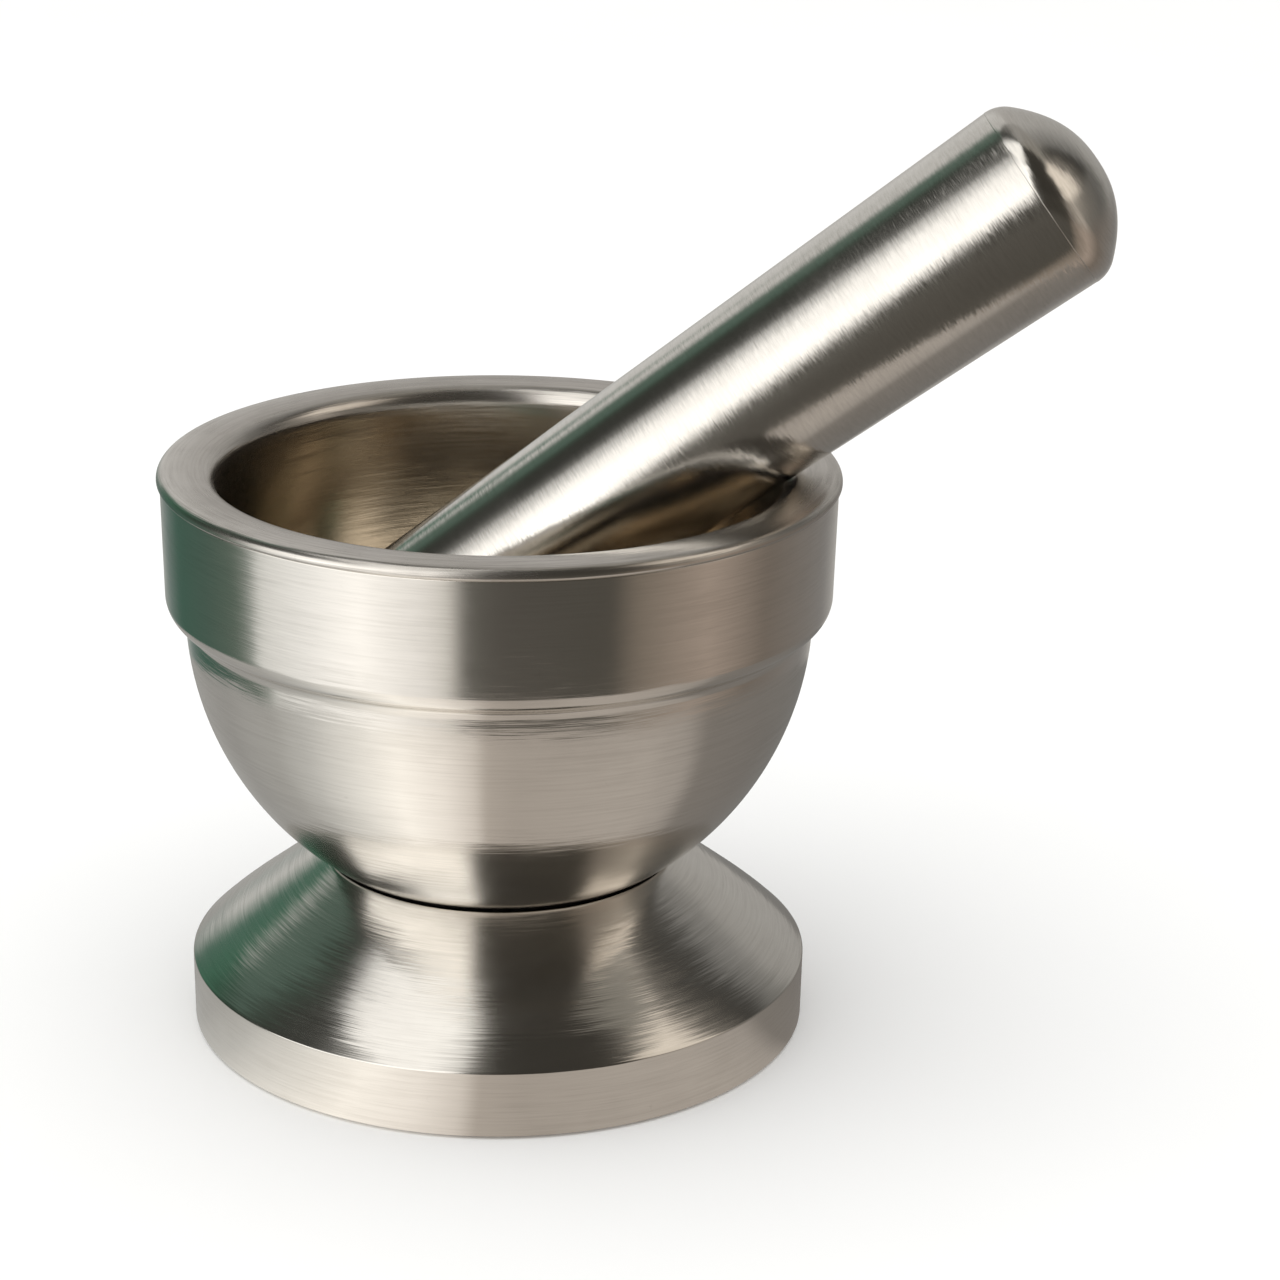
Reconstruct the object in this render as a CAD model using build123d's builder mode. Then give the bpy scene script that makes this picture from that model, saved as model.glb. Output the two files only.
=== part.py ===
from build123d import *
from math import atan2, cos, degrees, radians, sin, sqrt
import os

# Stainless steel mortar and pestle. Millimetres, +Z up. The origin is the centre of the
# mortar's underside. The mortar is a set of turned and drawn pieces round Z, and the pestle
# leans on the lip towards +X, with its rounded tip inside the bowl.

os.makedirs("parts", exist_ok=True)

# ---- driving dimensions: mortar ----
rim_radius = 50.0
mortar_height = 86.4
sheet = 1.2  # wall of every drawn shell

crown_ring_radius = 46.6  # where the lip is highest
crown_arc = 17.0  # radius of the lip's gentle crown
lip_roll = 2.9  # rounding from the crown into the bowl
lip_edge_round = 1.4  # rounding from the crown into the lip's upright edge
lip_edge_bottom = 84.75  # foot of the lip's upright edge
lip_underside = 84.4
lip_chamfer = 0.35  # the edge's lower chamfer, back to the band

cavity_mouth_radius = 41.5
cavity_radius = 41.2  # foot of the grinding bowl's upright wall
cavity_corner = 26.0  # arc from the wall to the bottom
cavity_corner_height = 59.0  # where the wall ends and that arc starts
cavity_bottom = 27.2  # inside height of the bowl's lowest point

band_top_radius = 49.5
band_foot_radius = 49.15
step_round = 2.85  # rounding from the band down to the step
outer_bowl_radius = 46.3
outer_bowl_centre = 64.8

neck_radius = 26.2  # ring where the foot meets the bowl
flare_slope = 37.9  # degrees above the table
flare_straight_end = 40.6  # radius where the cone starts to curve down
foot_edge_radius = 46.46
foot_edge_height = 10.3
foot_bottom_radius = 46.34
foot_lift = 0.4  # the shell stands clear of the table by this much

pad_thickness = 2.4
pad_radius = 44.6
base_plate_thickness = 1.0
base_plate_radius = 45.1

support_pad_radius = 18.0
stud_radius = 4.0
stud_bottom = 4.6
clamp_thickness = 2.0
clamp_edge_radius = 37.0  # top edge of the clamp plate, on the cone's inside
washer_radius = 9.0
washer_thickness = 1.5
nut_across_flats = 13.0
nut_height = 6.5
hole_clearance = 0.3

# ---- driving dimensions: pestle ----
head_radius = 14.44  # at the crease where the dome starts
head_dome_height = 7.6
dome_power = 2.3  # the dome falls with this power of the distance from the axis
head_skirt = 2.0  # straight part of the head cap beyond the barrel
crease_run = 0.5  # width of the rounding at the crease
barrel_taper = 0.0238  # loss of radius for each mm towards the tip
barrel_wall = 1.5
barrel_first_guess = 120.0  # the length is solved from where the tip meets the bowl
cap_spigot = 6.0  # how far each cap reaches into the barrel
core_clearance = 0.25

# ---- how the pestle rests ----
lean = 36.17  # degrees above the table
heading = -1.0  # degrees from +X, seen from above
crease_centre = Vector(78.1, -4.07, 128.2)
rest_gap = 0.3  # left between the tip and the bowl


def sphere_height(radius, centre, at):
    """Height of a sphere's lower half at a distance from the axis."""
    return centre - sqrt(radius**2 - at**2)


# ======================== mortar ========================

# Heights that follow from the driving dimensions.
band_foot = outer_bowl_centre + step_round
neck_height = sphere_height(outer_bowl_radius, outer_bowl_centre, neck_radius)
slope = radians(flare_slope)
flare_bend_height = neck_height - (flare_straight_end - neck_radius) * sin(slope) / cos(slope)

# The crown is an arc, and a smaller arc rolls off it at each side. Each small arc touches the
# crown from within, so its centre lies on a circle round the crown's centre.
crown_centre = Vector(crown_ring_radius, mortar_height - crown_arc)


def roll_centre(at, rounding):
    """Centre of a small arc under the crown, at a distance from the mortar's axis."""
    rise = sqrt((crown_arc - rounding) ** 2 - (at - crown_ring_radius) ** 2)
    return Vector(at, crown_centre.Y + rise)


def crown_touch(centre):
    """Point where a small arc with this centre touches the crown."""
    return crown_centre + (centre - crown_centre).normalized() * crown_arc


# The bowl's bottom is an arc round the axis, and the corner arc touches it from within. The
# rise is from the corner arc's centre to the bottom arc's centre.
corner_centre = Vector(cavity_radius - cavity_corner, cavity_corner_height)
corner_drop = cavity_corner_height - cavity_corner - cavity_bottom
bottom_rise = (corner_centre.X**2 - corner_drop**2) / (2 * corner_drop)
bottom_radius = cavity_corner + corner_drop + bottom_rise
bottom_centre = cavity_corner_height + bottom_rise
bottom_turn = degrees(atan2(corner_centre.X, bottom_rise))

inner_roll = roll_centre(cavity_mouth_radius + lip_roll, lip_roll)
outer_roll = roll_centre(rim_radius - lip_edge_round, lip_edge_round)

# ---- grinding bowl: round-bottomed cup with a thick crowned lip ----
with BuildPart() as grinding_bowl:
    with BuildSketch(Plane.XZ):
        with BuildLine():
            wall = Line((cavity_radius, cavity_corner_height), (cavity_mouth_radius, inner_roll.Y))
            TangentArc(wall @ 1, crown_touch(inner_roll), tangent=(0, 1))
            crown = ThreePointArc(
                crown_touch(inner_roll),
                (crown_ring_radius, mortar_height),
                crown_touch(outer_roll),
            )
            TangentArc(crown @ 1, (rim_radius, outer_roll.Y), tangent=crown % 1)
            Polyline(
                (rim_radius, outer_roll.Y),
                (rim_radius, lip_edge_bottom),
                (rim_radius - lip_chamfer, lip_underside),
                (cavity_mouth_radius + sheet, lip_underside),
                (cavity_radius + sheet, cavity_corner_height),
            )
            CenterArc(corner_centre, cavity_corner + sheet, 0, bottom_turn - 90)
            CenterArc((0, bottom_centre), bottom_radius + sheet, bottom_turn - 90, -bottom_turn)
            Line((0, cavity_bottom - sheet), (0, cavity_bottom))
            CenterArc((0, bottom_centre), bottom_radius, -90, bottom_turn)
            CenterArc(corner_centre, cavity_corner, bottom_turn - 90, 90 - bottom_turn)
        make_face()
    revolve(axis=Axis.Z)
grinding_bowl.part.label = "grinding_bowl"

# ---- outer shell: band, step and round bowl, open at the top ----
with BuildPart() as bowl_outer_shell:
    with BuildSketch(Plane.XZ):
        with BuildLine():
            Polyline(
                (band_top_radius - sheet, lip_underside),
                (band_top_radius, lip_underside),
                (band_foot_radius, band_foot),
            )
            CenterArc((band_foot_radius - step_round, band_foot), step_round, 0, -90)
            CenterArc((0, outer_bowl_centre), outer_bowl_radius, 0, -90)
            Polyline(
                (0, outer_bowl_centre - outer_bowl_radius),
                (0, outer_bowl_centre - outer_bowl_radius + sheet),
            )
            CenterArc((0, outer_bowl_centre), outer_bowl_radius - sheet, -90, 90)
            Polyline(
                (outer_bowl_radius - sheet, outer_bowl_centre),
                (outer_bowl_radius - sheet, outer_bowl_centre + sheet),
                (band_foot_radius - step_round, outer_bowl_centre + sheet),
            )
            CenterArc((band_foot_radius - step_round, band_foot), step_round - sheet, -90, 90)
            Line((band_foot_radius - sheet, band_foot), (band_top_radius - sheet, lip_underside))
        make_face()
    revolve(axis=Axis.Z)
bowl_outer_shell.part.label = "bowl_outer_shell"

# ---- support pad: fills the space between the two bowl bottoms ----
pad_top_radius = bottom_radius + sheet
pad_low_radius = outer_bowl_radius - sheet
with BuildPart() as bowl_support_pad:
    with BuildSketch(Plane.XZ):
        with BuildLine():
            top_edge = sphere_height(pad_top_radius, bottom_centre, support_pad_radius)
            low_edge = sphere_height(pad_low_radius, outer_bowl_centre, support_pad_radius)
            half_turn = degrees(atan2(support_pad_radius, bottom_centre - top_edge))
            CenterArc((0, bottom_centre), pad_top_radius, -90, half_turn)
            Line((support_pad_radius, top_edge), (support_pad_radius, low_edge))
            low_turn = degrees(atan2(support_pad_radius, outer_bowl_centre - low_edge))
            CenterArc((0, outer_bowl_centre), pad_low_radius, -90, low_turn)
            Line((0, outer_bowl_centre - pad_low_radius), (0, bottom_centre - pad_top_radius))
        make_face()
    revolve(axis=Axis.Z)
bowl_support_pad.part.label = "bowl_support_pad"

# ---- foot shell: upright side, rounded edge, straight cone up to the neck ----
with BuildPart() as foot_shell:
    with BuildSketch(Plane.XZ):
        with BuildLine():
            Line((foot_bottom_radius, foot_lift), (foot_edge_radius, foot_edge_height))
            cone = Line((neck_radius, neck_height), (flare_straight_end, flare_bend_height))
            TangentArc(cone @ 1, (foot_edge_radius, foot_edge_height), tangent=cone % 1)
            offset(amount=sheet, side=Side.LEFT, kind=Kind.INTERSECTION)
        make_face()
    revolve(axis=Axis.Z)
foot_shell.part.label = "foot_shell"

# Inside of the cone, used by the pieces that sit in the foot.
cone_drop = sheet / cos(slope)


def inner_cone_height(at):
    """Height of the foot shell's inner cone at a distance from the axis."""
    return neck_height - cone_drop - (at - neck_radius) * sin(slope) / cos(slope)


# ---- clamp plate: bears on the inside of the cone ----
clamp_top = inner_cone_height(clamp_edge_radius)
clamp_bottom = clamp_top - clamp_thickness
clamp_bottom_radius = clamp_edge_radius + clamp_thickness * cos(slope) / sin(slope)
with BuildPart() as clamp_plate:
    with BuildSketch(Plane.XZ):
        with BuildLine():
            Polyline(
                (stud_radius + hole_clearance, clamp_bottom),
                (clamp_bottom_radius, clamp_bottom),
                (clamp_edge_radius, clamp_top),
                (stud_radius + hole_clearance, clamp_top),
                close=True,
            )
        make_face()
    revolve(axis=Axis.Z)
clamp_plate.part.label = "clamp_plate"

# ---- stud: its domed head is welded to the outer shell's bottom ----
bowl_bottom = outer_bowl_centre - outer_bowl_radius
stud_weld_height = sphere_height(outer_bowl_radius, outer_bowl_centre, stud_radius)
with BuildPart() as bowl_stud:
    with BuildSketch(Plane.XZ):
        with BuildLine():
            Polyline(
                (0, bowl_bottom),
                (0, stud_bottom),
                (stud_radius, stud_bottom),
                (stud_radius, stud_weld_height),
            )
            weld_turn = degrees(atan2(stud_radius, outer_bowl_centre - stud_weld_height))
            CenterArc((0, outer_bowl_centre), outer_bowl_radius, -90, weld_turn)
        make_face()
    revolve(axis=Axis.Z)
    stud_end = bowl_stud.edges().filter_by(GeomType.CIRCLE).sort_by(Axis.Z)[0]
    chamfer(stud_end, 0.7)
bowl_stud.part.label = "bowl_stud"

# ---- washer and nut under the clamp plate ----
with BuildPart() as lock_washer:
    with BuildSketch(Plane.XY.offset(clamp_bottom - washer_thickness)):
        Circle(washer_radius)
        Circle(stud_radius + hole_clearance, mode=Mode.SUBTRACT)
    extrude(amount=washer_thickness)
lock_washer.part.label = "lock_washer"

nut_top = clamp_bottom - washer_thickness
with BuildPart() as stud_nut:
    with BuildSketch(Plane.XY.offset(nut_top - nut_height)):
        RegularPolygon(radius=nut_across_flats / 2, side_count=6, major_radius=False)
        Circle(stud_radius, mode=Mode.SUBTRACT)
    extrude(amount=nut_height)
stud_nut.part.label = "stud_nut"

# ---- ballast: ring on the clamp plate, under the bowl ----
ballast_inner = 7.0
ballast_outer = clamp_edge_radius - 1.0
ballast_gap = 0.5
ballast_neck = 23.0
ballast_dome = outer_bowl_radius + ballast_gap
with BuildPart() as foot_ballast:
    with BuildSketch(Plane.XZ):
        with BuildLine():
            inner_top = sphere_height(ballast_dome, outer_bowl_centre, ballast_inner)
            neck_top = sphere_height(ballast_dome, outer_bowl_centre, ballast_neck)
            middle = (ballast_inner + ballast_neck) / 2
            middle_top = sphere_height(ballast_dome, outer_bowl_centre, middle)
            ThreePointArc((ballast_inner, inner_top), (middle, middle_top), (ballast_neck, neck_top))
            Polyline(
                (ballast_neck, neck_top),
                (ballast_outer - 0.5, clamp_top + 0.5),
                (ballast_outer - 0.5, clamp_top),
                (ballast_inner, clamp_top),
                (ballast_inner, inner_top),
            )
        make_face()
    revolve(axis=Axis.Z)
foot_ballast.part.label = "foot_ballast"

# ---- base plate and anti-slip pad ----
with BuildPart() as base_plate:
    with BuildSketch(Plane.XY.offset(pad_thickness)):
        Circle(base_plate_radius)
    extrude(amount=base_plate_thickness)
base_plate.part.label = "base_plate"

with BuildPart() as anti_slip_pad:
    with BuildSketch(Plane.XY):
        Circle(pad_radius)
    extrude(amount=pad_thickness)
anti_slip_pad.part.label = "anti_slip_pad"

# ======================== pestle ========================

# Axis of the pestle, from the tip towards the head.
axis_dir = Vector(
    cos(radians(lean)) * cos(radians(heading)),
    cos(radians(lean)) * sin(radians(heading)),
    sin(radians(lean)),
)

# The tip is a ball centred on the axis, and it just clears the bowl's corner arc. Each round
# moves it along the axis by the room that is left, with the tip's radius at that length.
barrel_length = barrel_first_guess
for _ in range(30):
    tip_centre = crease_centre - axis_dir * barrel_length
    tip_radius = head_radius - barrel_taper * barrel_length
    off_axis = sqrt(tip_centre.X**2 + tip_centre.Y**2)
    from_corner = sqrt((off_axis - corner_centre.X) ** 2 + (tip_centre.Z - corner_centre.Y) ** 2)
    barrel_length += cavity_corner - rest_gap - tip_radius - from_corner

side_dir = axis_dir.cross(Vector(0, 0, 1)).normalized()
section_plane = Plane(origin=tip_centre, x_dir=side_dir, z_dir=side_dir.cross(axis_dir))
pestle_axis = Axis(tip_centre, axis_dir)
seam = barrel_length - head_skirt  # where the head cap meets the barrel


def cone_radius(at):
    """Outer radius of the pestle at a distance from the tip ball's centre."""
    return tip_radius + barrel_taper * at


# ---- barrel: tapered tube ----
with BuildPart() as pestle_barrel:
    with BuildSketch(section_plane):
        with BuildLine():
            Polyline(
                (cone_radius(0), 0),
                (cone_radius(seam), seam),
                (cone_radius(seam) - barrel_wall, seam),
                (cone_radius(0) - barrel_wall, 0),
                close=True,
            )
        make_face()
    revolve(axis=pestle_axis)
pestle_barrel.part.label = "pestle_barrel"


# ---- head cap: shallow dome with a spigot inside the barrel ----
def dome_rise(at):
    """Height of the dome above the crease at a distance from the pestle's axis."""
    return head_dome_height * (1 - (at / head_radius) ** dome_power)


dome_top = barrel_length + head_dome_height
dome_points = 8
dome_edge = head_radius - crease_run
edge_power = (dome_edge / head_radius) ** (dome_power - 1)
dome_slope = -dome_power * head_dome_height / head_radius * edge_power
crease_drop = sqrt(crease_run**2 + dome_rise(dome_edge) ** 2)
head_spigot_radius = cone_radius(seam - cap_spigot) - barrel_wall
with BuildPart() as pestle_head_cap:
    with BuildSketch(section_plane):
        with BuildLine():
            steps = [dome_edge * step / dome_points for step in range(dome_points + 1)]
            dome = Spline(
                *[(at, barrel_length + dome_rise(at)) for at in steps],
                tangents=[(1, 0), (1, dome_slope)],
            )
            crease_foot = (head_radius, barrel_length - crease_drop)
            TangentArc(dome @ 1, crease_foot, tangent=dome % 1)
            Polyline(
                crease_foot,
                (cone_radius(seam), seam),
                (head_spigot_radius, seam),
                (head_spigot_radius, seam - cap_spigot),
                (0, seam - cap_spigot),
                (0, dome_top),
            )
        make_face()
    revolve(axis=pestle_axis)
pestle_head_cap.part.label = "pestle_head_cap"

# ---- tip cap: ball end with a spigot inside the barrel ----
tip_spigot_radius = cone_radius(0) - barrel_wall
with BuildPart() as pestle_tip_cap:
    with BuildSketch(section_plane):
        with BuildLine():
            CenterArc((0, 0), tip_radius, -90, 90)
            Polyline(
                (tip_radius, 0),
                (tip_spigot_radius, 0),
                (tip_spigot_radius, cap_spigot),
                (0, cap_spigot),
                (0, -tip_radius),
            )
        make_face()
    revolve(axis=pestle_axis)
pestle_tip_cap.part.label = "pestle_tip_cap"

# ---- core: weight between the two caps ----
core_start = cap_spigot
core_end = seam - cap_spigot
core_offset = barrel_wall + core_clearance
with BuildPart() as pestle_core:
    with BuildSketch(section_plane):
        with BuildLine():
            Polyline(
                (0, core_start),
                (cone_radius(core_start) - core_offset, core_start),
                (cone_radius(core_end) - core_offset, core_end),
                (0, core_end),
                close=True,
            )
        make_face()
    revolve(axis=pestle_axis)
pestle_core.part.label = "pestle_core"

pieces = [
    grinding_bowl,
    bowl_outer_shell,
    bowl_support_pad,
    foot_shell,
    clamp_plate,
    bowl_stud,
    lock_washer,
    stud_nut,
    foot_ballast,
    base_plate,
    anti_slip_pad,
    pestle_barrel,
    pestle_head_cap,
    pestle_tip_cap,
    pestle_core,
]
for piece in pieces:
    export_step(piece.part, f"parts/{piece.part.label}.step")

print("pestle length", round(dome_top + tip_radius, 2))
print("tip centre", tip_centre, "radius", round(tip_radius, 3))
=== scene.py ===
from math import acos, atan2, cos, degrees, radians, sin, sqrt, tan

import bpy
import numpy as np
from bpy.props import FloatProperty, FloatVectorProperty, IntProperty, PointerProperty
from mathutils import Matrix, Vector


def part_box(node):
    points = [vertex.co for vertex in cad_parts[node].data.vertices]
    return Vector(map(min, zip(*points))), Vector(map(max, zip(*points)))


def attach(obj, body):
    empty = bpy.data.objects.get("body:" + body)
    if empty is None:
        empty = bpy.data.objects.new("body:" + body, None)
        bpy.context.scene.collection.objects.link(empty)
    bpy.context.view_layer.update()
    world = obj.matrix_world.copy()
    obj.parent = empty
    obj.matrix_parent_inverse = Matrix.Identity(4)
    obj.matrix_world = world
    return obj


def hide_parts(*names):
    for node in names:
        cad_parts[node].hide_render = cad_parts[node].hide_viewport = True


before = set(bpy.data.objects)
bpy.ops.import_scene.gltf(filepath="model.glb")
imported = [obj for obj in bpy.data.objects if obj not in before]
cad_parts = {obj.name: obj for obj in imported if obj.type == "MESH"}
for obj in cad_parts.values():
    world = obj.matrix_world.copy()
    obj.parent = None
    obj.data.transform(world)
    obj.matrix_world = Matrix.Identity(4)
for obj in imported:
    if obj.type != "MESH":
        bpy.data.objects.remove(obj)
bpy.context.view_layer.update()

bl_info = {
    "name": "Steel mortar and pestle",
    "version": (1, 0, 0),
    "blender": (4, 5, 0),
    "location": "3D View > Sidebar > Mortar",
    "description": "Makes the turned steel surfaces of a mortar and pestle and a soft light studio",
    "category": "Add Mesh",
}

MM = 0.001

# Places that the frame gives. The tip's centre and the axis set the pestle's own frame.
LIP_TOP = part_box("grinding_bowl")[1][2]
RIM_RADIUS = max(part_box("grinding_bowl")[1][:2])
FOOT_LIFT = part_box("foot_shell")[0][2]
FOOT_RADIUS = max(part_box("foot_shell")[1][:2])
PAD_RADIUS = max(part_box("anti_slip_pad")[1][:2])
PAD_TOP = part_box("anti_slip_pad")[1][2]
OUTLINE_STEP = 0.03 * MM
SETTLING_ROUNDS = 60  # rounds in which the pestle's length is solved, from a rough first value


# ======================== properties ========================


def length(name, description, default):
    """A length property in metres."""
    return FloatProperty(name=name, description=description, default=default, unit="LENGTH")


def angle(name, description, degree):
    """An angle property in radians, from a default in degrees."""
    return FloatProperty(
        name=name, description=description, default=radians(degree), subtype="ANGLE"
    )


def colour(name, description, default):
    """A linear colour property."""
    return FloatVectorProperty(
        name=name, description=description, default=default, subtype="COLOR", min=0.0, max=4.0
    )


class MortarSizes(bpy.types.PropertyGroup):
    """Shape of the mortar's turned surfaces"""

    wall: length("Wall", "Thickness of every drawn shell", 1.2 * MM)
    crown_ring: length("Crown ring", "Radius at which the lip is highest", 46.6 * MM)
    crown_arc: length("Crown arc", "Radius of the lip's gentle crown", 17.0 * MM)
    lip_roll: length("Lip roll", "Rounding from the crown into the bowl", 2.9 * MM)
    lip_edge: length("Lip edge", "Rounding of the lip's outer edge", 1.4 * MM)
    lip_drop: length("Lip drop", "From the lip's top to its underside", 2.0 * MM)
    lip_chamfer: length("Lip chamfer", "Lower chamfer of the lip's edge", 0.35 * MM)
    cavity_mouth: length("Mouth radius", "Radius of the bowl under the lip", 41.5 * MM)
    cavity: length("Cavity radius", "Radius at the foot of the bowl's upright wall", 41.2 * MM)
    corner: length("Corner radius", "Arc from the upright wall to the bottom", 26.0 * MM)
    corner_height: length("Corner height", "Height where that arc starts", 59.0 * MM)
    cavity_bottom: length("Cavity bottom", "Height of the bowl's lowest point", 27.2 * MM)
    band_top: length("Band top", "Radius of the band under the lip", 49.5 * MM)
    band_foot: length("Band foot", "Radius of the band at the step", 49.15 * MM)
    step_round: length("Step round", "Rounding from the band to the step", 2.85 * MM)
    step_hollow: length("Step hollow", "Hollow rounding under the step", 1.8 * MM)
    bowl: length("Bowl radius", "Radius of the round outer bowl", 46.3 * MM)
    bowl_centre: length("Bowl centre", "Height of the outer bowl's centre", 64.8 * MM)
    neck: length("Neck radius", "Ring where the foot meets the bowl", 26.2 * MM)
    neck_gap: length("Neck gap", "Dark gap round the neck ring", 0.3 * MM)
    neck_bevel: length("Neck bevel", "Width of the bevel above that gap", 0.48 * MM)
    neck_depth: length("Neck depth", "Depth of the neck's hidden inner face", 0.5 * MM)
    neck_lap: length("Neck lap", "How far the foot reaches in under the bowl", 0.2 * MM)
    flare_slope: angle("Flare slope", "Slope of the foot's cone above the table", 37.9)
    flare_end: length("Flare end", "Radius where the cone curves down", 40.6 * MM)
    foot_edge: length("Foot edge", "Radius of the foot's upright side at its top", FOOT_RADIUS)
    foot_edge_height: length("Foot edge height", "Height of the upright side", 10.3 * MM)
    foot_bottom: length("Foot bottom", "Radius of the foot at the table", 46.34 * MM)
    softness: length("Softness", "Spread of the rounding on every edge", 0.14 * MM)
    segments: IntProperty(
        name="Segments", description="Faces round the mortar", default=336, min=24, max=512
    )


class PestleSizes(bpy.types.PropertyGroup):
    """Shape and place of the pestle's turned surfaces"""

    head: length("Head radius", "Radius at the crease below the dome", 14.44 * MM)
    dome_height: length("Dome height", "Height of the dome on the head", 7.6 * MM)
    dome_power: FloatProperty(
        name="Dome power", description="Power of the distance by which it falls", default=2.3
    )
    skirt: length("Skirt", "Straight part of the head cap", 2.0 * MM)
    crease_run: length("Crease run", "Width of the rounding at the crease", 1.3 * MM)
    wall: length("Wall", "Thickness of the barrel", 1.5 * MM)
    spigot: length("Spigot", "How far each cap reaches into the barrel", 6.0 * MM)
    taper: FloatProperty(
        name="Taper", description="Loss of radius for each unit of length", default=0.0238
    )
    lean: angle("Lean", "Angle above the table", 36.17)
    heading: angle("Heading", "Turn from +X, seen from above", -1.0)
    crease_centre: FloatVectorProperty(
        name="Crease centre",
        description="Point on the axis at the crease",
        default=(78.1 * MM, -4.07 * MM, 128.2 * MM),
        subtype="TRANSLATION",
    )
    rest_gap: length("Rest gap", "Left between the tip and the bowl", 0.3 * MM)
    softness: length("Softness", "Spread of the rounding on every edge", 0.03 * MM)
    segments: IntProperty(
        name="Segments", description="Faces round the pestle", default=256, min=24, max=512
    )


class SteelFinish(bpy.types.PropertyGroup):
    """Colours and brushing of the steel"""

    light: colour("Light steel", "Steel where the brushing is clean", (0.80, 0.775, 0.735))
    dark: colour("Dark steel", "Steel where it is handled and stained", (0.66, 0.635, 0.595))
    lip_light: colour("Lip steel", "Clean steel on the lip", (0.74, 0.71, 0.67))
    lip_dark: colour("Lip stain", "Worn lines on the lip", (0.40, 0.375, 0.345))
    # Inside the bowl the steel runs from bowl_light at the mouth to a darker colour at the bottom;
    # that darker colour is painted shade.
    bowl_light: colour("Bowl steel", "Steel inside the bowl near its mouth", (0.88, 0.82, 0.73))
    bowl_shade: colour("Bowl stain", "Steel at the bowl's bottom", (0.64, 0.565, 0.46))
    stroke: length("Stroke", "Length of one brushing mark on the mortar", 13.0 * MM)
    pestle_stroke: length("Pestle stroke", "Length of one mark on the pestle", 3.0 * MM)
    groove: length("Groove", "Width of the finest brushing marks", 0.11 * MM)


class StudioSettings(bpy.types.PropertyGroup):
    """Camera, floor and surroundings"""

    camera_distance: length("Camera distance", "From the mortar's axis", 493.8 * MM)
    camera_height: length("Camera height", "Above the table", 232.7 * MM)
    yaw: angle("Yaw", "Turn to the right", 2.412)
    pitch: angle("Pitch", "Turn down", 19.381)
    roll: angle("Roll", "Camera's tilt", 0.978)
    lens: FloatProperty(name="Lens", description="Focal length in millimetres", default=98.98)
    floor_radius: length("Floor radius", "Radius of the pale floor", 3.0)
    # The table card glows with the table's painted light and shadow and shows only in the steel.
    card_radius: length("Card radius", "Radius of the table that shows in the steel", 165.0 * MM)
    lamp_size: length("Lamp size", "Across the round lamp", 1.6)
    lamp_place: FloatVectorProperty(
        name="Lamp place",
        description="The lamp points from here to the origin",
        default=(-0.25, -0.2, 1.4),
        subtype="TRANSLATION",
    )
    lamp_power: FloatProperty(
        name="Lamp power", description="Soft lamp overhead", default=5.0, unit="POWER"
    )


# The room that shows in the steel, in four bands of elevation. Each row is a heading in degrees,
# counted from the camera's side towards +X, and a colour.
LOW_ROOM = (
    (-180, (0.55, 0.53, 0.50)),
    (-166, (0.40, 0.42, 0.40)),
    (-153, (0.17, 0.22, 0.20)),
    (-140, (0.06, 0.125, 0.095)),
    (-118, (0.075, 0.125, 0.10)),
    (-100, (0.11, 0.15, 0.12)),
    (-93, (0.25, 0.28, 0.25)),
    (-89, (0.80, 0.80, 0.77)),
    (-70, (1.02, 1.01, 0.98)),
    (-48, (1.32, 1.29, 1.24)),
    (-26, (0.98, 0.95, 0.91)),
    (-17, (0.74, 0.71, 0.66)),
    (-12, (0.12, 0.115, 0.10)),
    (0, (0.10, 0.092, 0.08)),
    (38, (0.085, 0.078, 0.066)),
    (47, (0.22, 0.185, 0.15)),
    (74, (0.41, 0.335, 0.28)),
    (101, (0.19, 0.16, 0.135)),
    (145, (0.24, 0.23, 0.22)),
    (165, (0.42, 0.405, 0.38)),
    (180, (0.55, 0.53, 0.50)),
)
EYE_ROOM = (
    (-180, (0.47, 0.455, 0.435)),
    (-168, (0.65, 0.64, 0.62)),
    (-155, (0.63, 0.62, 0.60)),
    (-146, (0.08, 0.16, 0.12)),
    (-136, (0.06, 0.15, 0.1)),
    (-128, (0.043, 0.1, 0.067)),
    (-120, (0.025, 0.048, 0.033)),
    (-98, (0.04, 0.042, 0.036)),
    (-92, (0.16, 0.16, 0.15)),
    (-86, (1.3, 1.28, 1.24)),
    (-60, (1.7, 1.67, 1.62)),
    (-20, (1.6, 1.56, 1.5)),
    (-12, (0.09, 0.085, 0.075)),
    (0, (0.05, 0.045, 0.038)),
    (46, (0.06, 0.055, 0.045)),
    (56, (0.26, 0.23, 0.2)),
    (72, (0.41, 0.37, 0.32)),
    (80, (0.49, 0.44, 0.385)),
    (88, (0.3, 0.275, 0.24)),
    (96, (0.19, 0.175, 0.155)),
    (112, (0.135, 0.13, 0.12)),
    (120, (0.155, 0.15, 0.14)),
    (128, (0.225, 0.22, 0.205)),
    (136, (0.36, 0.35, 0.33)),
    (152, (0.41, 0.4, 0.38)),
    (180, (0.47, 0.455, 0.435)),
)
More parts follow.
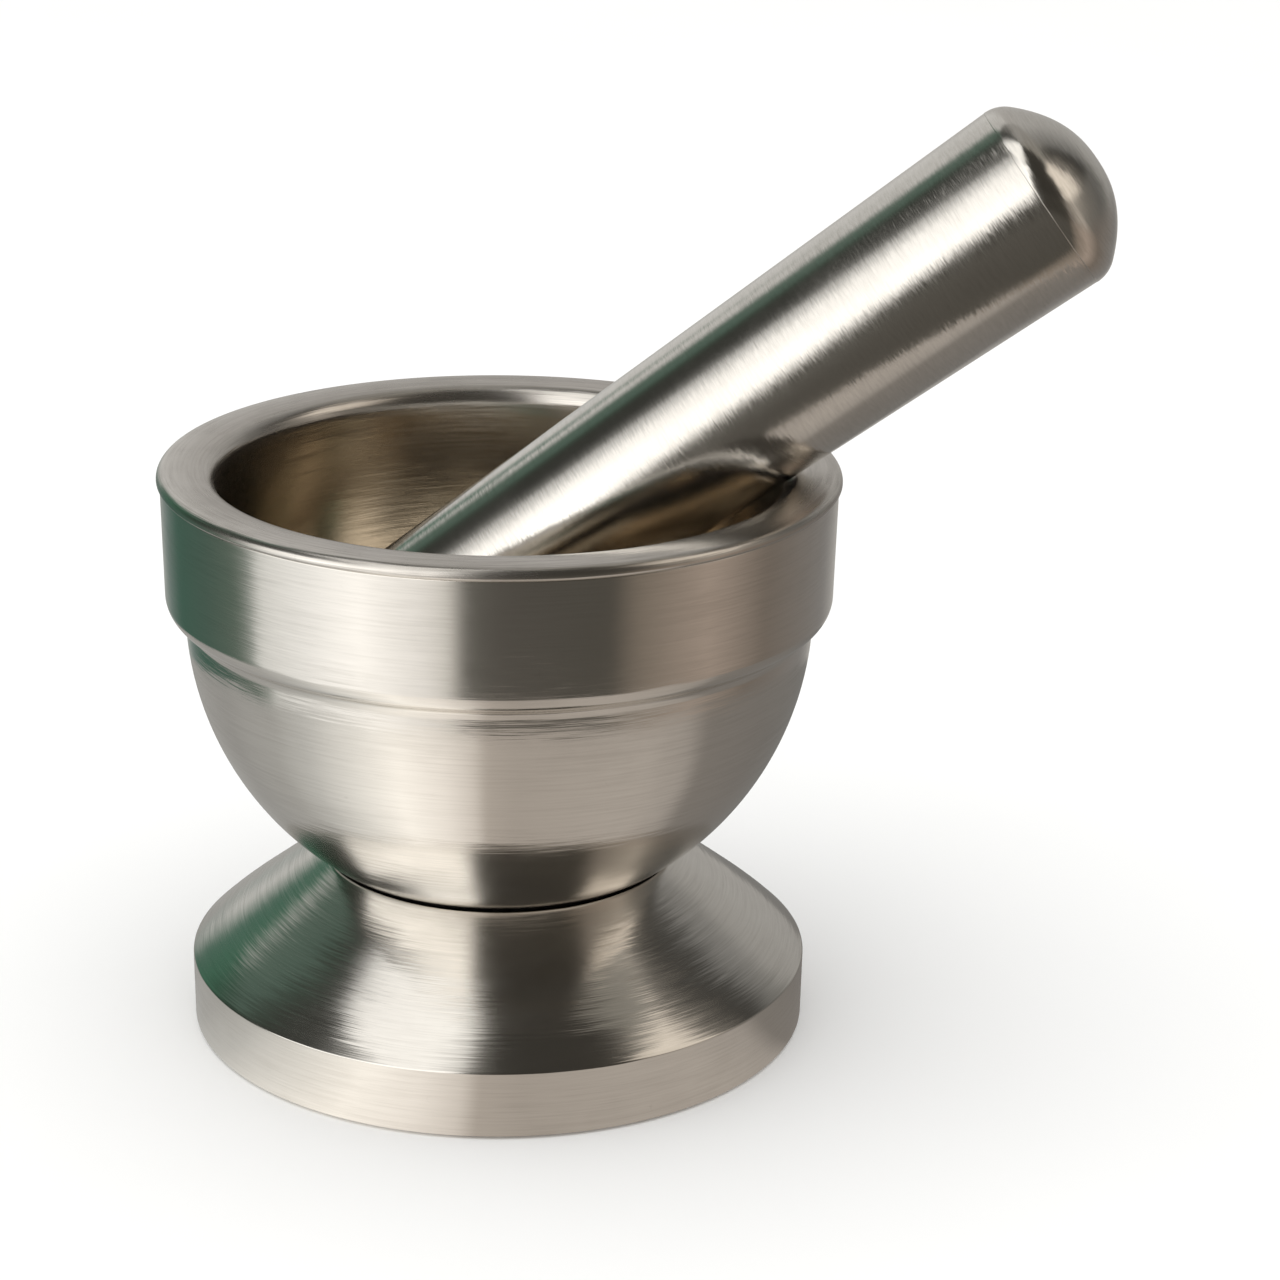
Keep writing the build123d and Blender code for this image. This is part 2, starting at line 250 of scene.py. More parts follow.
HIGH_ROOM = (
    (-180, (0.46, 0.445, 0.425)),
    (-168, (0.61, 0.60, 0.58)),
    (-140, (0.61, 0.60, 0.58)),
    (-130, (0.1, 0.15, 0.12)),
    (-118, (0.085, 0.13, 0.105)),
    (-112, (0.05, 0.07, 0.055)),
    (-104, (0.04, 0.042, 0.036)),
    (-88, (0.04, 0.041, 0.036)),
    (-80, (0.07, 0.07, 0.065)),
    (-72, (0.16, 0.16, 0.15)),
    (-64, (0.56, 0.555, 0.54)),
    (-56, (0.82, 0.81, 0.785)),
    (-48, (1.25, 1.23, 1.19)),
    (-20, (1.5, 1.47, 1.42)),
    (-12, (0.09, 0.085, 0.075)),
    (0, (0.04, 0.036, 0.03)),
    (56, (0.05, 0.045, 0.038)),
    (63, (0.8, 0.72, 0.62)),
    (92, (0.98, 0.885, 0.77)),
    (99, (0.13, 0.12, 0.105)),
    (104, (0.135, 0.125, 0.11)),
    (112, (0.048, 0.045, 0.04)),
    (119, (0.072, 0.07, 0.064)),
    (126, (0.205, 0.2, 0.19)),
    (155, (0.44, 0.43, 0.41)),
    (180, (0.46, 0.445, 0.425)),
)
TOP_ROOM = (
    (-180, (0.35, 0.34, 0.32)),
    (-128, (0.05, 0.05, 0.045)),
    (-114, (0.08, 0.08, 0.075)),
    (-104, (0.49, 0.485, 0.47)),
    (-96, (0.96, 0.95, 0.92)),
    (-88, (1.18, 1.16, 1.12)),
    (-40, (1.27, 1.25, 1.2)),
    (-32, (1.02, 1, 0.96)),
    (-24, (0.87, 0.85, 0.81)),
    (-16, (0.18, 0.172, 0.155)),
    (-8, (0.077, 0.073, 0.064)),
    (0, (0.042, 0.039, 0.033)),
    (64, (0.044, 0.04, 0.034)),
    (72, (0.085, 0.078, 0.068)),
    (80, (0.24, 0.225, 0.195)),
    (96, (0.27, 0.255, 0.225)),
    (125, (0.3, 0.285, 0.26)),
    (180, (0.35, 0.34, 0.32)),
)
# The table that shows in the steel, by the heading of each place seen from the mortar's axis. These
# are painted light and shadow: brightest to the front left, darker to the right.
TABLE_LIGHT_AND_SHADOW = (
    (-180, (0.43, 0.42, 0.4)),
    (-110, (0.365, 0.36, 0.345)),
    (-82, (0.445, 0.44, 0.42)),
    (-66, (0.605, 0.6, 0.575)),
    (-48, (0.94, 0.92, 0.87)),
    (-32, (1.25, 1.2, 1.12)),
    (-18, (1.04, 0.98, 0.91)),
    (-8, (0.76, 0.7, 0.64)),
    (-4.5, (0.5, 0.45, 0.4)),
    (5, (0.445, 0.4, 0.355)),
    (48, (0.485, 0.44, 0.395)),
    (64, (0.4, 0.365, 0.33)),
    (72, (0.235, 0.215, 0.195)),
    (100, (0.21, 0.195, 0.18)),
    (150, (0.205, 0.2, 0.19)),
    (180, (0.43, 0.42, 0.4)),
)


# ======================== outlines and turned surfaces ========================


def arc(centre, radius, start, end):
    """Stretch of a circle: centre plus radius times (cosine, sine) of evenly spaced degrees."""
    count = max(4, int(abs(end - start)) + 2)
    angles = np.radians(np.linspace(start, end, count))
    unit = np.column_stack((np.cos(angles), np.sin(angles)))
    return np.array(centre) + radius * unit


def outline(*stretches):
    """One outline from points and arcs in order, in (distance from the axis, height)."""
    return np.vstack([np.atleast_2d(stretch) for stretch in stretches])


def resampled(points):
    """The outline's points again, evenly spaced along its length by linear interpolation."""
    steps = np.hypot(*np.diff(points, axis=0).T)
    points = points[np.concatenate(([True], steps > 1e-9))]
    travelled = np.concatenate(([0.0], np.cumsum(np.hypot(*np.diff(points, axis=0).T))))
    at = np.linspace(0.0, travelled[-1], int(travelled[-1] / OUTLINE_STEP) + 1)
    return np.column_stack([np.interp(at, travelled, points[:, axis]) for axis in (0, 1)])


def softened(points, spread, closed):
    """Each point becomes the Gaussian-weighted mean of its neighbours along the outline, which
    rounds every corner. A closed outline wraps round, and an open one is mirrored over the axis
    at both ends, so that it still meets the axis at right angles."""
    reach = int(4 * spread / OUTLINE_STEP)
    if closed:
        padded = np.vstack((points[-reach - 1 : -1], points, points[1 : reach + 1]))
    else:
        mirror = np.array((-1.0, 1.0))
        before = points[1 : reach + 1][::-1] * mirror
        after = points[-reach - 1 : -1][::-1] * mirror
        padded = np.vstack((before, points, after))
    offsets = np.arange(-reach, reach + 1) * OUTLINE_STEP
    weights = np.exp(-0.5 * (offsets / spread) ** 2)
    weights /= weights.sum()
    return np.column_stack([np.convolve(padded[:, axis], weights, "valid") for axis in (0, 1)])


def thinned(points, turn, longest):
    """Fewer points where the outline is straight. The running sum of turning over `turn` and of
    length over `longest` is divided into equal parts. Gives points, unit headings and lengths."""
    steps = np.diff(points, axis=0)
    travelled = np.concatenate(([0.0], np.cumsum(np.hypot(*steps.T))))
    heading = np.unwrap(np.arctan2(steps[:, 1], steps[:, 0]))
    share = np.hypot(*steps.T) / longest
    share[1:] += np.abs(np.diff(heading)) / radians(turn)
    measure = np.concatenate(([0.0], np.cumsum(share)))
    at = np.interp(np.linspace(0.0, measure[-1], int(measure[-1]) + 2), measure, travelled)
    placed = [np.interp(at, travelled, points[:, axis]) for axis in (0, 1)]
    slopes = np.gradient(points, axis=0)
    headings = np.column_stack([np.interp(at, travelled, slopes[:, axis]) for axis in (0, 1)])
    headings /= np.hypot(*headings.T)[:, None]
    return np.column_stack(placed), headings, at


def turned(name, points, softness, segments, axes, closed=False, turn=4.0, longest=1.6 * MM):
    """A surface of revolution. The point at angle t and place s is the origin, plus r(s) times
    (cos t, sin t) across the axis, plus h(s) along the axis. The outline runs with the material
    on its right, so the normal is its heading turned left. `axes` is origin, x, y and axis."""
    origin, across_x, across_y, along_axis = (np.array(part) for part in axes)
    soft = softened(resampled(points), softness, closed)
    placed, headings, travelled = thinned(soft, turn, longest)
    if closed:
        placed, headings, travelled = placed[:-1], headings[:-1], travelled[:-1]
    rings = len(placed)
    angles = np.arange(segments) * (2 * np.pi / segments)
    radial = np.cos(angles)[:, None] * across_x + np.sin(angles)[:, None] * across_y

    def swept(radius_part, axis_part):
        """Vectors with these parts across and along the axis, for every ring and angle."""
        return radius_part[:, None, None] * radial + (axis_part[:, None] * along_axis)[:, None, :]

    where = (origin + swept(placed[:, 0], placed[:, 1])).reshape(-1, 3)
    normals = swept(-headings[:, 1], headings[:, 0]).reshape(-1, 3)
    meridian = swept(headings[:, 0], headings[:, 1]).reshape(-1, 3)
    brush = np.empty((rings, segments, 3))
    brush[..., 0] = placed[:, 0, None] * np.cos(angles)
    brush[..., 1] = placed[:, 0, None] * np.sin(angles)
    brush[..., 2] = travelled[:, None]
    brush = brush.reshape(-1, 3)

    ring = np.arange(rings if closed else rings - 1)[:, None]
    column = np.arange(segments)[None, :]
    after_ring = (ring + 1) % rings
    after_column = (column + 1) % segments
    corners = (
        ring * segments + column,
        after_ring * segments + column,
        after_ring * segments + after_column,
        ring * segments + after_column,
    )
    quads = np.stack(np.broadcast_arrays(*corners), axis=-1).reshape(-1, 4)
    if closed:
        faces = quads.tolist()
    else:
        # The first and last rings lie on the axis, so each becomes one vertex and a fan.
        last = (rings - 1) * segments
        keep = np.concatenate(([0], np.arange(segments, last), [last]))
        renumber = np.zeros(len(where), dtype=int)
        renumber[keep] = np.arange(len(keep))
        renumber[last:] = len(keep) - 1
        where, normals, meridian, brush = (part[keep] for part in (where, normals, meridian, brush))
        normals[0] = along_axis * headings[0, 0]
        normals[-1] = along_axis * headings[-1, 0]
        meridian[[0, -1]] = 0.0
        quads = renumber[quads]
        start_fan = quads[:segments][:, [0, 1, 2]]
        end_fan = quads[-segments:][:, [0, 1, 3]]
        faces = start_fan.tolist() + quads[segments:-segments].tolist() + end_fan.tolist()
    return piece_mesh(name, where, faces, normals, {"brush": brush, "meridian": meridian})


def piece_mesh(name, where, faces, normals, vectors):
    """An object at the origin from arrays of points, faces, normals and named vectors."""
    mesh = bpy.data.meshes.new(name)
    mesh.from_pydata(where, [], faces)
    mesh.polygons.foreach_set("use_smooth", np.ones(len(mesh.polygons), dtype=bool))
    mesh.normals_split_custom_set_from_vertices(normals)
    for label, values in vectors.items():
        layer = mesh.attributes.new(label, "FLOAT_VECTOR", "POINT")
        layer.data.foreach_set("vector", values.astype(np.float32).ravel())
    mesh.update()
    piece = bpy.data.objects.new(name, mesh)
    bpy.context.scene.collection.objects.link(piece)
    return piece


UPRIGHT = ((0.0, 0.0, 0.0), (1.0, 0.0, 0.0), (0.0, 1.0, 0.0), (0.0, 0.0, 1.0))


def bowl_bottom(size):
    """The corner arc touches the bottom arc from within. Gives the centres of both in (distance
    from the axis, height), the bottom arc's radius and the angle in degrees where they touch."""
    corner = (size.cavity - size.corner, size.corner_height)
    drop = size.corner_height - size.corner - size.cavity_bottom
    rise = (corner[0] ** 2 - drop**2) / (2 * drop)
    centre = (0.0, size.corner_height + rise)
    return corner, centre, size.corner + drop + rise, -degrees(atan2(rise, corner[0]))


# ======================== shader writing ========================


class Signal:
    """A number that varies over a surface. Sums, differences, products and quotients of signals
    and numbers add Math nodes."""

    def __init__(self, board, socket):
        self.board = board
        self.socket = socket

    def maths(self, operation, first, second=0.0, third=0.0):
        """The result of a Math node."""
        values = {0: first, 1: second, 2: third}
        made = self.board.node("ShaderNodeMath", {"operation": operation}, values)
        return Signal(self.board, made.outputs[0])

    def __add__(self, other):
        return self.maths("ADD", self, other)

    __radd__ = __add__

    def __sub__(self, other):
        return self.maths("SUBTRACT", self, other)

    def __rsub__(self, other):
        return self.maths("SUBTRACT", other, self)

    def __mul__(self, other):
        return self.maths("MULTIPLY", self, other)

    __rmul__ = __mul__

    def __truediv__(self, other):
        return self.maths("DIVIDE", self, other)

    def __abs__(self):
        return self.maths("ABSOLUTE", self)

    def step(self, low, high):
        """Smooth rise from 0 at `low` to 1 at `high`."""
        sockets = {"Value": self, "From Min": low, "From Max": high}
        made = self.board.node("ShaderNodeMapRange", {"interpolation_type": "SMOOTHSTEP"}, sockets)
        return Signal(self.board, made.outputs["Result"])


class Board:
    """The node tree of one material or of the surroundings."""

    def __init__(self, owner):
        owner.use_nodes = True
        self.tree = owner.node_tree
        self.tree.nodes.clear()

    def node(self, kind, settings=None, sockets=None):
        """Any node: its settings are set first, then its sockets get values or links."""
        made = self.tree.nodes.new(kind)
        for name, value in (settings or {}).items():
            if name == "stops":
                self.set_stops(made.color_ramp.elements, value)
            else:
                setattr(made, name, value)
        for name, value in (sockets or {}).items():
            if isinstance(value, Signal):
                value = value.socket
            if isinstance(value, bpy.types.NodeSocket):
                self.tree.links.new(value, made.inputs[name])
            else:
                made.inputs[name].default_value = value
        return made

    def set_stops(self, elements, stops):
        """A ramp's stops, from pairs of place and colour."""
        while len(elements) < len(stops):
            elements.new(1.0)
        for element, (place, tint) in zip(elements, stops):
            element.position = place
            element.color = (*tint, 1.0)

    def compass(self, direction, stops):
        """Colour by heading, from pairs of degrees and colour. Zero is -Y, where the camera
        stands, and +X is at 90."""
        parts = self.node("ShaderNodeSeparateXYZ", None, {0: direction}).outputs
        right, away = Signal(self, parts[0]), Signal(self, parts[1])
        heading = right.maths("ARCTAN2", right, 0 - away) / (2 * np.pi) + 0.5
        places = [((degree + 180) / 360, tint) for degree, tint in stops]
        return self.node("ShaderNodeValToRGB", {"stops": places}, {0: heading}).outputs[0]

    def attribute(self, name):
        """A named vector of the piece."""
        return self.node("ShaderNodeAttribute", {"attribute_name": name}).outputs["Vector"]

    def vector(self, operation, first, second=(0.0, 0.0, 0.0), scale=1.0):
        """The vector result of a Vector Math node, whose last socket is the scale."""
        sockets = {0: first, 1: second, 3: scale}
        return self.node("ShaderNodeVectorMath", {"operation": operation}, sockets).outputs[0]

    def noise(self, where, per_metre, detail=2.0, roughness=0.5, offset=(0.0, 0.0, 0.0)):
        """Noise from 0 to 1, with its own number of waves for each metre along x, y and z."""
        mapping = {"Vector": where, "Location": offset, "Scale": per_metre}
        place = self.node("ShaderNodeMapping", None, mapping).outputs[0]
        sockets = {"Vector": place, "Scale": 1.0, "Detail": detail, "Roughness": roughness}
        return Signal(self, self.node("ShaderNodeTexNoise", None, sockets).outputs["Fac"])

    def blend(self, factor, first, second):
        """A colour between two colours."""
        sockets = {0: factor, 6: first, 7: second}
        made = self.node("ShaderNodeMix", {"data_type": "RGBA"}, sockets)
        return made.outputs[2]

    def principled(self, sockets):
        """The surface's shader and its output."""
        shader = self.node("ShaderNodeBsdfPrincipled", None, sockets)
        self.node("ShaderNodeOutputMaterial", None, {"Surface": shader.outputs[0]})


def rgba(tint):
    """A colour property as four numbers."""
    return (*tint, 1.0)


# ======================== finishes ========================


def brushed_steel(name, light, dark, finish, roughness, grooves, stroke_length, seed, deep=None):
    """Steel brushed round the piece's axis. Three sizes of streak noise, long round the axis and
    narrow along the outline, tilt the normal along the outline. `grooves` gives the tilt of the
    fine, middle and broad streaks. `deep` is a pair of colours for the steel below the lip, at
    the mouth and at the bottom."""
    material = bpy.data.materials.new(name)
    board = Board(material)
    brush = board.attribute("brush")
    meridian = board.attribute("meridian")
    stroke = 1.0 / stroke_length
    groove = 1.0 / finish.groove
    shift = (seed * 3.7, seed * 1.9, seed * 11.3)

    fine = board.noise(brush, (stroke * 1.6, stroke * 1.6, groove), 2.0, 0.6, shift)
    middle = board.noise(brush, (stroke, stroke, groove * 0.28), 2.0, 0.55, shift)
    broad = board.noise(brush, (stroke * 0.35, stroke * 0.35, groove * 0.05), 1.0, 0.5, shift)
    tilt = (fine - 0.5) * grooves[0] + (middle - 0.5) * grooves[1] + (broad - 0.5) * grooves[2]
    if deep:
        # The bowl's wall is smoother than its lip.
        place = board.node("ShaderNodeTexCoord").outputs["Object"]
        height = Signal(board, board.node("ShaderNodeSeparateXYZ", None, {0: place}).outputs[2])
        inside = 1 - height.step(LIP_TOP - 5 * MM, LIP_TOP - 2 * MM)
        tilt = tilt * (1 - inside * 0.6)

    # A few darker scratches, where a stretched noise crosses its middle value.
    scratch_field = board.noise(brush, (stroke * 2.2, stroke * 0.9, groove * 0.05), 0.0, 0.5, shift)
    scratch_line = 1 - abs(scratch_field - 0.5).step(0.0, 0.004)
    scratch_place = board.noise(brush, (190.0, 190.0, 310.0), 1.0, 0.5, shift).step(0.60, 0.68)
    scratch = scratch_line * scratch_place

    # Faint smudges from handling.
    smudge = board.noise(brush, (38.0, 38.0, 52.0), 4.0, 0.6, shift).step(0.38, 0.72)

    world_meridian = board.node(
        "ShaderNodeVectorTransform",
        {"vector_type": "VECTOR", "convert_from": "OBJECT", "convert_to": "WORLD"},
        {0: meridian},
    ).outputs[0]
    normal = board.node("ShaderNodeNewGeometry").outputs["Normal"]
    leaning = board.vector("SCALE", world_meridian, scale=tilt)
    leaned = board.vector("NORMALIZE", board.vector("ADD", normal, leaning))

    tone = (middle - 0.5) * 1.1 + (fine - 0.5) * 0.9 + smudge * 0.45 + scratch * 0.5 + 0.1
    tint = board.blend(tone.step(-0.2, 1.2), rgba(light), rgba(dark))
    gloss = roughness + (middle - 0.5) * 0.10 + smudge * 0.07
    if deep:
        # Painted shade: the steel inside the bowl is coloured darker towards its bottom, over the
        # 45 mm under the lip.
        stain = 1 - height.step(LIP_TOP - 45 * MM, LIP_TOP)
        tint = board.blend(inside, tint, board.blend(stain, rgba(deep[0]), rgba(deep[1])))
        gloss = gloss - inside * 0.08
    board.principled({"Base Color": tint, "Metallic": 1.0, "Roughness": gloss, "Normal": leaned})
    return material


def hidden_metal(name, light, dark, metallic, roughness, grain):
    """Finish of a piece inside the foot or the pestle: mottled tint and a fine bumpy grain."""
    material = bpy.data.materials.new(name)
    board = Board(material)
    place = board.node("ShaderNodeTexCoord").outputs["Object"]
    mottle = board.noise(place, (grain, grain, grain), 4.0, 0.6)
    fine = board.noise(place, (grain * 9, grain * 9, grain * 9), 2.0, 0.6)
    tint = board.blend(mottle.step(0.3, 0.7), light, dark)
    relief = {"Strength": 0.35, "Distance": 0.1 * MM, "Height": fine}
    bump = board.node("ShaderNodeBump", None, relief)
    board.principled(
        {
            "Base Color": tint,
            "Metallic": metallic,
            "Roughness": roughness + (fine - 0.5) * 0.2,
            "Normal": bump.outputs[0],
        }
    )
    return material


# ======================== operators ========================


def settle(piece, material, body, node):
    """Gives a finished surface its material, slot and body, and hides its CAD node."""
    piece.data.materials.append(material)
    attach(piece, body)
    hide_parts(node)


class MORTAR_OT_grinding_bowl(bpy.types.Operator):
    """Make the inner bowl with its crowned lip"""

    bl_idname = "mortar.grinding_bowl"
    bl_label = "Grinding bowl"

    def execute(self, context):
        """The crown is a wide arc. A small arc touches it from within at each side."""
        size = context.scene.mortar_sizes
        steel = context.scene.steel_finish
        crown = np.array((size.crown_ring, LIP_TOP - size.crown_arc))

        def roll(at, rounding):
            """Centre of a small arc under the crown, and the angle where the two touch."""
            rise = sqrt((size.crown_arc - rounding) ** 2 - (at - size.crown_ring) ** 2)
            touch = degrees(acos((at - size.crown_ring) / (size.crown_arc - rounding)))
            return (at, crown[1] + rise), touch

        inner, inner_touch = roll(size.cavity_mouth + size.lip_roll, size.lip_roll)
        outer, outer_touch = roll(RIM_RADIUS - size.lip_edge, size.lip_edge)
        underside = LIP_TOP - size.lip_drop
        corner, centre, bottom, bend = bowl_bottom(size)
        points = outline(
            arc(centre, bottom, -90, bend),
            arc(corner, size.corner, bend, 0),
            arc(inner, size.lip_roll, 180, inner_touch),
            arc(crown, size.crown_arc, inner_touch, outer_touch),
            arc(outer, size.lip_edge, outer_touch, 0),
            (RIM_RADIUS, underside + size.lip_chamfer),
            (RIM_RADIUS - size.lip_chamfer, underside),
            (size.cavity_mouth + size.wall, underside),
            arc(corner, size.corner + size.wall, 0, bend),
            arc(centre, bottom + size.wall, bend, -90),
        )
        piece = turned("grinding_bowl_surface", points, size.softness, size.segments, UPRIGHT)
        material = brushed_steel(
            "bowl_steel", steel.lip_light, steel.lip_dark, steel, 0.23, (0.36, 0.18, 0.03),
            steel.stroke, 1, (steel.bowl_light, steel.bowl_shade)
        )
        settle(piece, material, "mortar", "grinding_bowl")
        return {"FINISHED"}


class MORTAR_OT_outer_shell(bpy.types.Operator):
    """Make the band, the step and the round outer bowl"""

    bl_idname = "mortar.outer_shell"
    bl_label = "Outer shell"

    def execute(self, context):
        """Under the band a round turns inwards, and a hollow arc leads into the bowl."""
        size = context.scene.mortar_sizes
        steel = context.scene.steel_finish
        top = LIP_TOP - size.lip_drop
        band_foot = size.bowl_centre + size.step_round
        centre = (0.0, size.bowl_centre)
        inside = size.bowl - size.wall
        step_centre = (size.band_foot - size.step_round, band_foot)
        # The hollow arc touches the step's round and the bowl from outside, so its centre is
        # where two widened circles cross. `along` is its distance on the line between them.
        hollow = size.step_hollow
        apart = sqrt(step_centre[0] ** 2 + size.step_round**2)
        far = size.bowl + hollow
        along = (far**2 - (size.step_round + hollow) ** 2 + apart**2) / (2 * apart)
        turn = atan2(size.step_round, step_centre[0]) - acos(along / far)
        hollow_centre = (far * cos(turn), size.bowl_centre + far * sin(turn))
        bowl_turn = degrees(turn)
        across = step_centre[0] - hollow_centre[0]
        step_turn = degrees(atan2(step_centre[1] - hollow_centre[1], across))
        points = outline(
            arc(centre, inside, -90, 0),
            (inside, size.bowl_centre + size.wall),
            arc(step_centre, size.step_round - size.wall, -90, 0),
            (size.band_top - size.wall, top),
            (size.band_top, top),
            arc(step_centre, size.step_round, 0, step_turn - 180),
            arc(hollow_centre, hollow, step_turn, 180 + bowl_turn),
            arc(centre, size.bowl, bowl_turn, -90),
        )
        piece = turned("outer_shell_surface", points, size.softness, size.segments, UPRIGHT)
        material = brushed_steel(
            "shell_steel", steel.light, steel.dark, steel, 0.14, (0.24, 0.09, 0.02), steel.stroke, 2
        )
        settle(piece, material, "mortar", "bowl_outer_shell")
        return {"FINISHED"}


class MORTAR_OT_foot(bpy.types.Operator):
    """Make the flared foot"""

    bl_idname = "mortar.foot"
    bl_label = "Foot"

    def execute(self, context):
        """A straight cone from the neck, an arc that touches it and the upright side."""
        size = context.scene.mortar_sizes
        steel = context.scene.steel_finish
        slope = size.flare_slope
        neck_height = size.bowl_centre - sqrt(size.bowl**2 - size.neck**2)
        bend_height = neck_height - (size.flare_end - size.neck) * tan(slope)
        # The arc leaves the cone along its slope and ends at the edge.
        run = size.foot_edge - size.flare_end
        drop = bend_height - size.foot_edge_height
        chord = sqrt(run**2 + drop**2)
        steep = acos(run / chord)
        bend = chord / (2 * sin(steep - slope))
        bend_centre = (size.flare_end - bend * sin(slope), bend_height - bend * cos(slope))
        bend_start = 90 - degrees(slope)
        bend_end = bend_start - 2 * degrees(steep - slope)
        wall = size.wall
        inner_drop = wall / cos(slope)
        neck_edge = size.neck + size.neck_bevel
        neck_edge_height = neck_height - size.neck_bevel * tan(slope)
        neck_inside = size.neck - size.neck_lap
        neck_floor = neck_height - size.neck_gap - size.neck_depth
        points = outline(
            (neck_inside, neck_floor),
            (size.neck, neck_height - size.neck_gap),
            (neck_edge, neck_edge_height),
            arc(bend_centre, bend, bend_start, bend_end),
            (size.foot_bottom, FOOT_LIFT),
            (size.foot_bottom - wall, FOOT_LIFT),
            (size.foot_edge - wall, size.foot_edge_height - wall * 0.6),
            arc(bend_centre, bend - wall, bend_end, bend_start),
            (neck_inside, neck_height - inner_drop),
            (neck_inside, neck_floor),
        )
        piece = turned(
            "foot_surface", points, size.softness, size.segments, UPRIGHT, closed=True
        )
        material = brushed_steel(
            "foot_steel", steel.light, steel.dark, steel, 0.13, (0.24, 0.08, 0.02), steel.stroke, 3
        )
        settle(piece, material, "mortar", "foot_shell")
        return {"FINISHED"}


class MORTAR_OT_anti_slip_pad(bpy.types.Operator):
    """Make the rubber pad with its ring treads"""

    bl_idname = "mortar.anti_slip_pad"
    bl_label = "Anti-slip pad"

    def execute(self, context):
        """The underside's height is a cosine of the distance from the axis, raised to a high
        power, so that narrow grooves run between flat rings."""
        size = context.scene.mortar_sizes
        pitch = 2.2 * MM
        depth = 0.7 * MM
        inset = 1.2 * MM
        top_chamfer = 0.4 * MM
        low_chamfer = 0.5 * MM
        reach = np.linspace(PAD_RADIUS - inset, 0.0, 900)
        wave = 0.5 + 0.5 * np.cos(2 * np.pi * (reach - PAD_RADIUS + inset + pitch / 2) / pitch)
        tread = np.column_stack((reach, depth * wave**6))
        tread[reach < 1.5 * pitch, 1] = 0.0
        points = outline(
            (0.0, PAD_TOP),
            (PAD_RADIUS - top_chamfer, PAD_TOP),
            (PAD_RADIUS, PAD_TOP - top_chamfer),
            (PAD_RADIUS, low_chamfer),
            (PAD_RADIUS - low_chamfer, 0.0),
            tread,
        )
        piece = turned("anti_slip_pad_surface", points, 0.1 * MM, 200, UPRIGHT, turn=12.0)
        material = hidden_metal(
            "grip_rubber", (0.022, 0.022, 0.021, 1.0), (0.045, 0.044, 0.042, 1.0), 0.0, 0.78, 900.0
        )
        settle(piece, material, "mortar", "anti_slip_pad")
        return {"FINISHED"}


class MORTAR_OT_pestle(bpy.types.Operator):
    """Make the pestle's barrel, domed head and round tip"""

    bl_idname = "mortar.pestle"
    bl_label = "Pestle"

    def execute(self, context):
        """All three are turned round the pestle's axis, and lengths count from the tip's centre.
        Each round moves it along the axis by the room left between the tip and the bowl. The
        dome falls with a power of the distance from the axis."""
        size = context.scene.pestle_sizes
        bowl = context.scene.mortar_sizes
        steel = context.scene.steel_finish
        flat = cos(size.lean)
        axis = Vector((flat * cos(size.heading), flat * sin(size.heading), sin(size.lean)))
        crease = Vector(size.crease_centre)
        corner = bowl_bottom(bowl)[0]
        barrel = crease.z
        for _ in range(SETTLING_ROUNDS):
            origin = crease - axis * barrel
            tip = size.head - size.taper * barrel
            off_axis = sqrt(origin.x**2 + origin.y**2)
            from_corner = sqrt((off_axis - corner[0]) ** 2 + (origin.z - corner[1]) ** 2)
            barrel += bowl.corner - size.rest_gap - tip - from_corner
        side = axis.cross(Vector((0.0, 0.0, 1.0))).normalized()
        axes = (origin, side, axis.cross(side), axis)
        seam = barrel - size.skirt

        def cone(at):
            """Outer radius at a distance from the tip's centre."""
            return tip + size.taper * at

        edge = size.head - size.crease_run
        reach = np.linspace(0.0, edge, 60)
        rise = size.dome_height * (1 - (reach / size.head) ** size.dome_power)
        dome = np.column_stack((reach, barrel + rise))
        # A quadratic curve rounds the crease, with as much run down the side as up the dome.
        share = np.linspace(0.0, 1.0, 12)[:, None]
        run = sqrt(size.crease_run**2 + rise[-1] ** 2)
        crease_start = dome[-1] * (1 - share) ** 2
        crease_middle = np.array((size.head, barrel)) * (2 * share * (1 - share))
        crease_end = np.array((size.head, barrel - run)) * share**2
        head_spigot = cone(seam - size.spigot) - size.wall
        tip_spigot = cone(0) - size.wall
        outlines = {
            "pestle_head_cap": outline(
                dome,
                crease_start + crease_middle + crease_end,
                (cone(seam), seam),
                (head_spigot, seam),
                (head_spigot, seam - size.spigot),
                (0.0, seam - size.spigot),
            ),
            "pestle_barrel": outline(
                (cone(seam) - size.wall, seam),
                (cone(seam), seam),
                (tip, 0.0),
                (tip - size.wall, 0.0),
                (cone(seam) - size.wall, seam),
            ),
            "pestle_tip_cap": outline(
                (0.0, size.spigot),
                (tip_spigot, size.spigot),
                (tip_spigot, 0.0),
                arc((0.0, 0.0), tip, 0, -90),
            ),
        }
        material = brushed_steel(
            "pestle_steel", steel.light, steel.dark, steel, 0.13, (0.17, 0.04, 0.006),
            steel.pestle_stroke, 4
        )
        for node, points in outlines.items():
            closed = node == "pestle_barrel"
            piece = turned(f"{node}_surface", points, size.softness, size.segments, axes, closed)
            settle(piece, material, "pestle", node)
        return {"FINISHED"}


